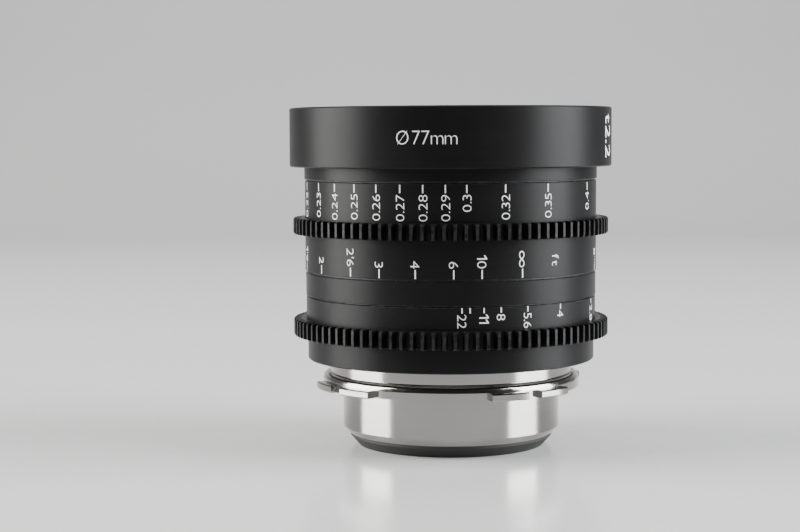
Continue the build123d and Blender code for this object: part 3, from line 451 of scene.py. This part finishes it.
class Palette:
    """Makes each material once and hands it out."""

    def __init__(self) -> None:
        """Start with no material."""
        self.made: dict[str, bpy.types.Material] = {}

    def of(self, look: Union[Finish, Coating]) -> bpy.types.Material:
        """The material of a look.

        Args:
            look: a finish or a glass coating.

        Returns:
            Its material.
        """
        if look.name not in self.made:
            maker = self._glass if isinstance(look, Coating) else self._solid
            self.made[look.name] = maker(look)
            log.info("material %s", look.name)
        return self.made[look.name]

    def _structure(self, shader: Shader, look: Finish, x: Value, y: Value, z: Value) -> Value:
        """The grain of a finish, between nought and one.

        Args:
            shader: the material that takes it.
            look: the finish.
            x: first coordinate, in mm.
            y: second coordinate.
            z: third coordinate.

        Returns:
            The grain.
        """
        lines = 1.0 / look.pitch
        if look.grain in (Grain.TURNED, Grain.POLISHED):
            radius = (x * x + y * y).root()
            rings = shader.noise(radius * CROSSING, z, 0.0, lines, 3.0)
            across = shader.noise(radius, 0.0, z * CROSSING, lines, 2.0)
            speck = shader.noise(x, y, z, lines * SPECK_FINENESS, 1.0)
            return rings * RINGS_SHARE + across * ACROSS_SHARE + speck * SPECK_SHARE
        if look.grain is Grain.MOULDED:
            return shader.noise(x, y, z, lines, 4.0)
        coarse = shader.noise(x, y, z, lines, 3.0) * COARSE_SHARE
        return coarse + shader.noise(x, y, z, lines * FINE_FINENESS, 1.0) * FINE_SHARE

    def _rubbed_sheen_share(self, look: Finish, radius: Value, z: Value) -> Value:
        """How far each point is rubbed and painted lighter as a highlight, along the rings' edges and on the
        gear teeth's tips.

        Args:
            look: the finish.
            radius: distance from the axis, in mm.
            z: height above the foot, in mm.

        Returns:
            A share between nought and one.
        """
        edge = 1.0 - (z - look.edges[0]).size() / look.reach
        for height in look.edges[1:]:
            edge = edge.most(1.0 - (z - height).size() / look.reach)
        brim = ((z - look.brim_above) * RUBBED_SHEEN_FADE).within(0.0, 1.0)
        start = look.rubbed_sheen_from + brim * (look.brim_from - look.rubbed_sheen_from)
        outside = ((radius - start) * RUBBED_SHEEN_FADE).within(0.0, 1.0)
        tips = ((radius - look.tips_from) * TIPS_FADE).within(0.0, 1.0) * (1.0 - brim)
        return (edge.within(0.0, 1.0) * outside).most(tips * TIPS_SHARE)

    def _solid(self, look: Finish) -> bpy.types.Material:
        """The material of a finish.

        Args:
            look: the finish.

        Returns:
            Its material.
        """
        shader = Shader(look.name)
        x, y, z = shader.place()
        structure = self._structure(shader, look, x, y, z)
        patches = shader.noise(x, y, z, PATCHES, 3.0)
        worn = ((patches - WORN_FROM) * WORN_CONTRAST).within(0.0, 1.0)
        share = (structure * COLOUR_GRAIN + patches * COLOUR_PATCHES - COLOUR_OFFSET).within(0.0, 1.0)
        lighter = tuple(part * (1.0 + look.wear) for part in look.light)
        colour = shader.blend(worn * look.wear, shader.blend(share, look.dark, look.light), lighter)
        uneven = structure * ROUGH_GRAIN + patches * ROUGH_PATCHES
        roughness = look.smooth + (look.rough - look.smooth) * uneven
        # Painted highlight along the ring edges and gear tips, mixed with chipped edge wear; rubbing also
        # lowers the roughness
        if look.edges:
            chips = shader.noise(x, y, z, CHIPS, 4.0)
            chips = ((chips - CHIPS_FROM) * CHIPS_CONTRAST).within(0.0, 1.0)
            rubbed_sheen = self._rubbed_sheen_share(look, (x * x + y * y).root(), z) * chips
            colour = shader.blend(rubbed_sheen * RUBBED_SHEEN_SHARE, colour, look.rubbed_sheen)
            roughness = roughness - rubbed_sheen * RUBBED_POLISH
        shader.set(
            Base_Color=colour,
            Roughness=roughness,
            Metallic=look.metallic,
            Anisotropic=look.anisotropic,
            Specular_IOR_Level=look.gloss,
            Normal=shader.value("ShaderNodeBump", {}, {
                "Strength": 1.0, "Distance": look.relief * MM, "Height": structure}, "Normal"),
        )
        return shader.material

    def _glass(self, look: Coating) -> bpy.types.Material:
        """The material of a coated element, clear inside its blackened edge.

        Args:
            look: the coating.

        Returns:
            Its material.
        """
        shader = Shader(look.name)
        x, y, z = shader.place()
        edge = (((x * x + y * y).root() - look.radius) / look.blackened + 1.0).within(0.0, 1.0)
        haze = shader.noise(x, y, z, HAZE, 2.0)
        shader.set(
            Base_Color=shader.blend(edge, look.clear, look.rim),
            Roughness=POLISH_ROUGH + haze * HAZE_ROUGH + edge * RIM_ROUGH,
            Metallic=0.0,
            IOR=GLASS_INDEX,
            Transmission_Weight=1.0,
            Thin_Film_Thickness=look.film,
            Thin_Film_IOR=FILM_INDEX,
        )
        return shader.material


class Form:
    """A mesh being made in mm, which becomes one piece at the origin.

    Args:
        name: name of the piece.
    """

    def __init__(self, name: str) -> None:
        """Start with an empty mesh."""
        self.name = name
        self.mesh = bmesh.new()

    def take(self, other: bmesh.types.BMesh) -> None:
        """Add a copy of another mesh to this one, and free the other.

        Args:
            other: the mesh to add.
        """
        loose = bpy.data.meshes.new("loose")
        other.to_mesh(loose)
        other.free()
        self.mesh.from_mesh(loose)
        bpy.data.meshes.remove(loose)

    def finish(self, material: bpy.types.Material, body: str, smooth: bool) -> bpy.types.Object:
        """Make the piece, in metres, riding on a body.

        Args:
            material: its material.
            body: the body that carries it.
            smooth: whether its faces are shaded smooth.

        Returns:
            The piece.
        """
        bmesh.ops.remove_doubles(self.mesh, verts=self.mesh.verts, dist=MERGE)
        bmesh.ops.recalc_face_normals(self.mesh, faces=self.mesh.faces)
        bmesh.ops.scale(self.mesh, vec=(MM, MM, MM), verts=self.mesh.verts)
        data = bpy.data.meshes.new(self.name)
        self.mesh.to_mesh(data)
        self.mesh.free()
        data.materials.append(material)
        data.polygons.foreach_set("use_smooth", [smooth] * len(data.polygons))
        piece = bpy.data.objects.new(self.name, data)
        bpy.context.scene.collection.objects.link(piece)
        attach(piece, body)
        log.info("piece %s with %d faces", self.name, len(data.polygons))
        return piece


@dataclass(frozen=True)
class Mark:
    """A word or a figure on a ring.

    Args:
        text: what it says, or nothing for a tick alone.
        angle: where it stands, in degrees from the front towards +X.
        ticked: whether a tick goes with it.
    """

    text: str
    angle: float
    ticked: bool = True


@dataclass(frozen=True)
class Type:
    """How the words of one scale are set.

    Args:
        cap: height of a capital, in mm.
        wide: width of the letters against the plain font.
        heavy: how far the strokes' edges are moved outwards, in mm; negative for thinner strokes.
        reading: which way the words run.
        gap: space between letters, as a share of the cap height.
    """

    cap: float
    wide: float
    heavy: float
    reading: Reading
    gap: float = 0.10


class Printer:
    """Prints words and ticks on a cylinder round the axis.

    Args:
        form: the mesh that takes the marks.
        radius: radius of the cylinder, in mm.
        low: depth of the paint below the surface, in mm.
        high: height of the paint above the surface, in mm.
    """

    def __init__(self, form: Form, radius: float, low: float = 0.04, high: float = 0.025) -> None:
        """Set the cylinder and the paint."""
        self.form = form
        self.radius = radius
        self.low = low
        self.high = high

    def _letter(self, letter: str, kind: Type) -> bmesh.types.BMesh:
        """One letter of the plain font, laid flat.

        Args:
            letter: the letter.
            kind: how it is set.

        Returns:
            Its mesh, in mm.
        """
        curve = bpy.data.curves.new("letter", "FONT")
        curve.body = letter
        curve.size = kind.cap / FONT_CAP
        curve.resolution_u = 3
        curve.offset = kind.heavy
        curve.extrude = (self.low + self.high) / 2
        holder = bpy.data.objects.new("letter", curve)
        bpy.context.scene.collection.objects.link(holder)
        data = bpy.data.meshes.new_from_object(holder)
        bpy.data.objects.remove(holder)
        bpy.data.curves.remove(curve)
        flat = bmesh.new()
        flat.from_mesh(data)
        bpy.data.meshes.remove(data)
        larger = ENLARGED.get(letter, 1.0)
        for v in flat.verts:
            v.co.x *= kind.wide * larger
            v.co.y += (v.co.y - kind.cap / 2) * (larger - 1.0)
            v.co.z += (self.high - self.low) / 2
        return flat

    def _one(self, kind: Type) -> bmesh.types.BMesh:
        """The figure one, with a flag, which the plain font lacks.

        Args:
            kind: how it is set.

        Returns:
            Its mesh, in mm.
        """
        flat = bmesh.new()
        stem = FLAGGED_ONE_STEM / kind.cap
        left = FLAGGED_ONE_WIDTH * kind.wide
        outline = [(left, 0.0), (left + stem, 0.0), (left + stem, 1.0), (left, 1.0),
                   (0.0, FLAG_HEIGHT), (0.0, FLAG_HEIGHT - stem), (left, FLAG_ROOT - stem)]
        face = flat.faces.new([flat.verts.new((x * kind.cap, y * kind.cap, -self.low)) for x, y in outline])
        raised = bmesh.ops.extrude_face_region(flat, geom=[face])
        upper = [part for part in raised["geom"] if isinstance(part, bmesh.types.BMVert)]
        bmesh.ops.translate(flat, vec=(0.0, 0.0, self.low + self.high), verts=upper)
        bmesh.ops.triangulate(flat, faces=flat.faces[:])
        return flat

    def _slice(self, flat: bmesh.types.BMesh, axis: int, step: float) -> None:
        """Cut a flat mesh into strips, so that it can be bent.

        Args:
            flat: the mesh.
            axis: the direction across the strips.
            step: width of a strip, in mm.
        """
        values = [v.co[axis] for v in flat.verts]
        normal = Vector((0.0, 0.0, 0.0))
        normal[axis] = 1.0
        for number in range(math.floor(min(values) / step) + 1, math.ceil(max(values) / step)):
            bmesh.ops.bisect_plane(flat, geom=[*flat.verts, *flat.edges, *flat.faces], dist=1e-5,
                                   plane_co=normal * number * step, plane_no=normal)

    def _bend(self, flat: bmesh.types.BMesh, angle: float, height: float) -> None:
        """Lay a flat mesh on the cylinder and add it to the form.

        Args:
            flat: the mesh.
            angle: where its origin goes, in degrees from the front.
            height: where its origin goes, in mm above the foot.
        """
        for v in flat.verts:
            turn = math.radians(angle) + v.co.x / self.radius
            reach = self.radius + v.co.z
            v.co = Vector((reach * math.sin(turn), -reach * math.cos(turn), height + v.co.y))
        self.form.take(flat)

    def word(self, text: str, kind: Type, angle: float, height: float, from_end: bool = False) -> None:
        """Print a word.

        Args:
            text: what it says.
            kind: how it is set.
            angle: where it stands, in degrees; the middle of the letters' height, or their left end
                if the word runs round the ring.
            height: where it starts, in mm above the foot.
            from_end: whether height is where the word ends, not where it starts.
        """
        letters = []
        long = 0.0
        for letter in text:
            flat = self._one(kind) if letter == "1" else self._letter(letter, kind)
            reach = [v.co.x for v in flat.verts]
            for v in flat.verts:
                v.co.x += long - min(reach)
            long += max(reach) - min(reach) + kind.gap * kind.cap
            letters.append(flat)
        start = long - kind.gap * kind.cap if from_end else 0.0
        for flat in letters:
            for v in flat.verts:
                along, up = v.co.x - start, v.co.y - kind.cap / 2
                if kind.reading is Reading.UP:
                    v.co.x, v.co.y = -up, along
                elif kind.reading is Reading.DOWN:
                    v.co.x, v.co.y = up, -along
            self._slice(flat, 0, STRIP)
            self._bend(flat, angle, height)

    def tick(self, angle: float, bottom: float, top: float, width: float = 0.3) -> None:
        """Print a line along the lens.

        Args:
            angle: where it stands, in degrees.
            bottom: its lower end, in mm above the foot.
            top: its upper end.
            width: its width, in mm.
        """
        flat = bmesh.new()
        bmesh.ops.create_cube(flat, size=1.0)
        for v in flat.verts:
            v.co = Vector((v.co.x * width, (v.co.y + 0.5) * (top - bottom),
                           self.high if v.co.z > 0 else -self.low))
        self._bend(flat, angle, bottom)


@dataclass
class Scale:
    """A row of figures and ticks on one ring.

    Args:
        name: name of the piece.
        body: the body that carries it.
        radius: radius of the ring, in mm.
        marks: the figures.
        kind: how they are set.
        tick: lower and upper end of the ticks, in mm above the foot.
        start: where the words start, in mm above the foot.
        minor: angles of the ticks that have no figure.
        from_end: whether start is where the words end, not where they start.
    """

    name: str
    body: str
    radius: float
    marks: Sequence[Mark]
    kind: Type
    tick: tuple[float, float]
    start: float
    minor: Sequence[float] = field(default_factory=tuple)
    from_end: bool = False

    def build(self, palette: Palette) -> bpy.types.Object:
        """Print the scale.

        Args:
            palette: where the materials come from.

        Returns:
            The piece.
        """
        form = Form(self.name)
        printer = Printer(form, self.radius)
        for mark in self.marks:
            if mark.ticked:
                printer.tick(mark.angle, *self.tick)
            if mark.text:
                printer.word(mark.text, self.kind, mark.angle, self.start, self.from_end)
        for angle in self.minor:
            printer.tick(angle, *self.tick)
        return form.finish(palette.of(PAINT), self.body, False)


@dataclass
class IndexMark:
    """The paint in an engraved index line.

    Args:
        name: name of the piece.
        radius: radius of the ring, in mm.
        angle: where it stands, in degrees from the front towards +X.
        bottom: lower end, in mm above the foot.
        top: upper end.
        width: width of the groove.
        depth: depth of the groove.
        sunk: how far the paint's top lies below the ring, and its foot below the groove.
    """

    name: str
    radius: float
    angle: float
    bottom: float
    top: float
    width: float = 0.33
    depth: float = 0.15
    sunk: float = 0.02

    def build(self, palette: Palette) -> bpy.types.Object:
        """Fill the line.

        Args:
            palette: where the materials come from.

        Returns:
            The piece.
        """
        form = Form(self.name)
        printer = Printer(form, self.radius, self.depth + self.sunk, -self.sunk)
        printer.tick(self.angle, self.bottom, self.top, self.width)
        return form.finish(palette.of(PAINT), "housing", False)


@dataclass
class FilterThread:
    """The helical ridges inside the front ring.

    Args:
        root: radius of the bore they stand on, in mm.
        crest: radius of their edges.
        bottom: lower end of the ridge, in mm above the foot.
        top: upper end.
        pitch: rise in one turn.
        steps: faces in one turn.
        flank: half the ridge's height at its root, as a share of the pitch.
        edge: half its height at the crest.
    """

    root: float = 38.52
    crest: float = 38.06
    bottom: float = 79.75
    top: float = 83.35
    pitch: float = 0.75
    steps: int = 144
    flank: float = 0.46
    edge: float = 0.06

    def build(self, palette: Palette) -> bpy.types.Object:
        """Make the ridges.

        Args:
            palette: where the materials come from.

        Returns:
            The piece.
        """
        form = Form("filter_thread_ridges")
        half = self.pitch * self.flank
        corners = ((self.root, -half), (self.root, half), (self.crest, self.edge), (self.crest, -self.edge))
        verts = [form.mesh.verts.new((reach, 0.0, self.bottom + lift)) for reach, lift in corners]
        face = form.mesh.faces.new(verts)
        turns = (self.top - self.bottom) / self.pitch
        steps = round(turns * self.steps)
        bmesh.ops.spin(form.mesh, geom=[face, *face.edges, *verts], cent=(0.0, 0.0, 0.0),
                       axis=(0.0, 0.0, 1.0), dvec=(0.0, 0.0, (self.top - self.bottom) / steps),
                       angle=math.tau * turns, steps=steps, use_duplicate=False)
        return form.finish(palette.of(GEAR_BLACK), "housing", False)


class NodeDressing:
    """Gives every CAD node its finish and its shading.

    Args:
        palette: where the materials come from.
    """

    by_slot: dict[str, Finish] = {look.slot: look for look in NODE_FINISHES}

    def __init__(self, palette: Palette) -> None:
        """Read each node's slot from the record."""
        self.palette = palette
        self.slots = {part["node"]: part["material_slot"] for part in frame["record"]["subparts"]}

    def look_of(self, name: str) -> Union[Finish, Coating]:
        """The look of a node.

        Args:
            name: name of the node.

        Returns:
            Its finish, or the coating of a glass element.
        """
        if name in COATING_FILMS:
            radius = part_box(name)[1].x / MM
            return Coating(f"glass_{name}", CLEAR_GLASS, BLACKENED_GLASS, radius, COATING_FILMS[name])
        return self.by_slot[self.slots[name]]

    def dress(self) -> None:
        """Put a material on every node."""
        for name, node in frame["nodes"].items():
            look = self.look_of(name)
            node.data.materials.clear()
            node.data.materials.append(self.palette.of(look))
            log.info("node %s: %s", name, look.name)


class Studio:
    """Camera, lights, floor and backdrop, none of them part of the lens.

    Lengths are in metres and angles in degrees.
    """

    focal_length = 80.47
    film_width = 36.0
    eye = (-0.01264, -0.4469, 0.0770)
    pitch = 90.0 - 4.18
    roll = -0.258
    nearest = 0.02
    half_width = 3.5
    floor_back = 0.9
    bend = 0.6
    wall = 1.5
    drop = 0.05 * MM
    paper = ((0.52, 0.52, 0.52), (0.56, 0.56, 0.56))
    paper_grain = 0.4
    paper_rough = (0.14, 0.08)
    haze = (0.10, 0.10, 0.105, 1.0)
    haze_strength = 0.35

    def __init__(self) -> None:
        """Start with nothing in the studio."""
        self.pieces: list[bpy.types.Object] = []

    def _add(self, name: str, data: Any) -> bpy.types.Object:
        """Put a camera, a light or a mesh into the scene.

        Args:
            name: its name.
            data: what it is.

        Returns:
            Its object.
        """
        thing = bpy.data.objects.new(name, data)
        bpy.context.scene.collection.objects.link(thing)
        self.pieces.append(thing)
        return thing

    def camera(self) -> None:
        """Place the camera that took the photo."""
        data = bpy.data.cameras.new("camera")
        data.lens = self.focal_length
        data.sensor_width = self.film_width
        data.sensor_fit = "HORIZONTAL"
        data.clip_start = self.nearest
        camera = self._add("camera", data)
        camera.matrix_world = (Matrix.Translation(self.eye)
                               @ Matrix.Rotation(math.radians(self.pitch), 4, "X")
                               @ Matrix.Rotation(math.radians(self.roll), 4, "Z"))
        bpy.context.scene.camera = camera

    def light(self, name: str, place: Sequence[float], target: Sequence[float], size: tuple[float, float],
              power: float, colour: Colour = (1.0, 1.0, 1.0)) -> None:
        """Add a softbox.

        Args:
            name: name of the light.
            place: where it stands, in metres.
            target: the point it faces.
            size: its width and height.
            power: its power in watts.
            colour: its colour.
        """
        data = bpy.data.lights.new(name, "AREA")
        data.shape = "RECTANGLE"
        data.size, data.size_y = size
        data.energy = power
        data.color = colour
        lamp = self._add(name, data)
        toward = Vector(target) - Vector(place)
        lamp.matrix_world = Matrix.Translation(place) @ toward.to_track_quat("-Z", "Y").to_matrix().to_4x4()

    def room(self) -> None:
        """Make the pale floor, which sweeps up behind the lens, and the light from all round."""
        side = self.half_width
        sweep = bmesh.new()
        edge = sweep.edges.new([sweep.verts.new((x, -side, -self.drop)) for x in (-side, side)])
        flat = bmesh.ops.extrude_edge_only(sweep, edges=[edge])["geom"]
        bmesh.ops.translate(sweep, vec=(0.0, self.floor_back + side, 0.0),
                            verts=[part for part in flat if isinstance(part, bmesh.types.BMVert)])
        last = [part for part in flat if isinstance(part, bmesh.types.BMEdge)]
        ends = bmesh.ops.spin(sweep, geom=last, cent=(0.0, self.floor_back, self.bend - self.drop),
                              axis=(1.0, 0.0, 0.0), angle=math.radians(90.0), steps=16)["geom_last"]
        top = [part for part in ends if isinstance(part, bmesh.types.BMEdge)]
        raised = bmesh.ops.extrude_edge_only(sweep, edges=top)["geom"]
        bmesh.ops.translate(sweep, vec=(0.0, 0.0, self.wall),
                            verts=[part for part in raised if isinstance(part, bmesh.types.BMVert)])
        bmesh.ops.recalc_face_normals(sweep, faces=sweep.faces)
        data = bpy.data.meshes.new("floor")
        sweep.to_mesh(data)
        sweep.free()
        data.polygons.foreach_set("use_smooth", [True] * len(data.polygons))
        shader = Shader("floor_paper")
        x, y, z = shader.place()
        fibres = shader.noise(x, y, z, self.paper_grain, 3.0)
        least, more = self.paper_rough
        shader.set(Base_Color=shader.blend(fibres, *self.paper), Roughness=least + fibres * more)
        data.materials.append(shader.material)
        self._add("floor", data)
        world = bpy.data.worlds.new("studio")
        world.use_nodes = True
        glow = world.node_tree.nodes["Background"].inputs
        glow["Color"].default_value = self.haze
        glow["Strength"].default_value = self.haze_strength
        bpy.context.scene.world = world

    def build(self) -> None:
        """Set up the whole studio."""
        self.camera()
        self.room()
        self.light("box_left", (-0.98, -0.03, 0.46), (0.0, 0.0, 0.05), (0.80, 0.98), 43.0, (1.0, 0.99, 0.97))
        self.light("box_right", (0.96, -0.16, 0.46), (0.0, 0.0, 0.05), (0.74, 0.98), 43.0, (0.98, 0.99, 1.0))
        self.light("box_top", (0.0, 0.20, 0.95), (0.0, 0.20, 0.0), (0.8, 0.6), 5.5)
        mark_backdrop(*self.pieces)


def marks(text: str) -> tuple[Mark, ...]:
    """Read a row of figures and their angles.

    Args:
        text: pairs of a figure and an angle, split by spaces; a figure with a star has no tick.

    Returns:
        The marks.
    """
    words = text.split()
    return tuple(Mark(figure.strip("*"), float(angle), not figure.endswith("*"))
                 for figure, angle in zip(words[::2], words[1::2]))


class LensMarkings:
    """All that is printed on the lens."""

    metre = Scale(
        "metre_scale", "focus_ring", 36.25,
        marks("0.2 -112.0 0.21 -93.5 0.22 -77.0 0.23 -62.4 0.24 -50.8 0.25 -40.1 0.26 -30.1 0.27 -20.4 "
              "0.28 -11.7 0.29 -3.4 0.3 4.4 0.32 19.0 0.35 37.5 0.4 63.6 0.5 96.0 0.6 116.5 0.7 130.5 "
              "1 154.5 1.5 172.5 2 181.0 3 189.5 5 196.1 ∞ 205.9 m* 220.5"),
        Type(2.22, 1.29, -0.045, Reading.UP, 0.15), (63.7, 65.6), 63.3, from_end=True)
    feet = Scale(
        "feet_scale", "focus_ring", 36.25,
        marks("1'9 -78.0 2 -60.3 2'6 -42.1 3 -28.9 4 -14.6 6 -0.4 10 10.0 ∞ 25.9 ft* 41.4 1'6 -96.0 "
              "1'3 -124.5 1' -171.8 10\" -216.1 9\" -245.9 8\" -285.0"),
        Type(2.35, 1.25, -0.045, Reading.DOWN, 0.16), (43.85, 45.95), 46.3, from_end=True)
    iris = Scale(
        "iris_scale", "iris_ring", 36.05,
        marks("22 2.6 11 10.8 8 17.4 5.6 28.4 4 44.5 2.8 70.0 2.2 97.5"),
        Type(2.25, 1.18, -0.035, Reading.DOWN), (35.9, 37.15), 35.6, minor=(5.6,))
    index = (
        IndexMark("focus_index", 36.4, 90.0, 66.45, 69.1),
        IndexMark("feet_index", 36.13, 270.0, 40.5, 43.1),
        IndexMark("iris_index", 36.13, 90.0, 37.7, 40.3),
    )

    front_radius = 40.0
    front_paint = 0.02

    def _front(self, palette: Palette) -> None:
        """Print the words on the front ring.

        Args:
            palette: where the materials come from.
        """
        form = Form("front_marks")
        printer = Printer(form, self.front_radius, high=self.front_paint)
        printer.word("Ø", Type(3.48, 0.885, -0.09, Reading.ROUND), -19.55, 74.85)
        printer.word("77mm", Type(3.48, 0.97, -0.09, Reading.ROUND), -14.1, 74.85)
        printer.word("t2.2", Type(5.0, 1.02, 0.0, Reading.DOWN, 0.09), 71.1, 82.0)
        form.finish(palette.of(PAINT), "housing", False)

    def build(self, palette: Palette) -> None:
        """Print everything.

        Args:
            palette: where the materials come from.
        """
        for scale in (self.metre, self.feet, self.iris):
            scale.build(palette)
        for mark in self.index:
            mark.build(palette)
        self._front(palette)


def corners() -> list[list[float]]:
    """Lowest and highest corner of the object as shown.

    Returns:
        Two plain lists of three lengths in metres.
    """
    return [list(corner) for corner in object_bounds()]


def main() -> None:
    """Dress the lens, add what the CAD leaves out, and set up the studio."""
    logging.basicConfig(level=logging.INFO, format="%(name)s: %(message)s")
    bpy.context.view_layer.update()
    palette = Palette()
    NodeDressing(palette).dress()
    LensMarkings().build(palette)
    FilterThread().build(palette)
    Studio().build()


if __name__ == "__main__":
    main()
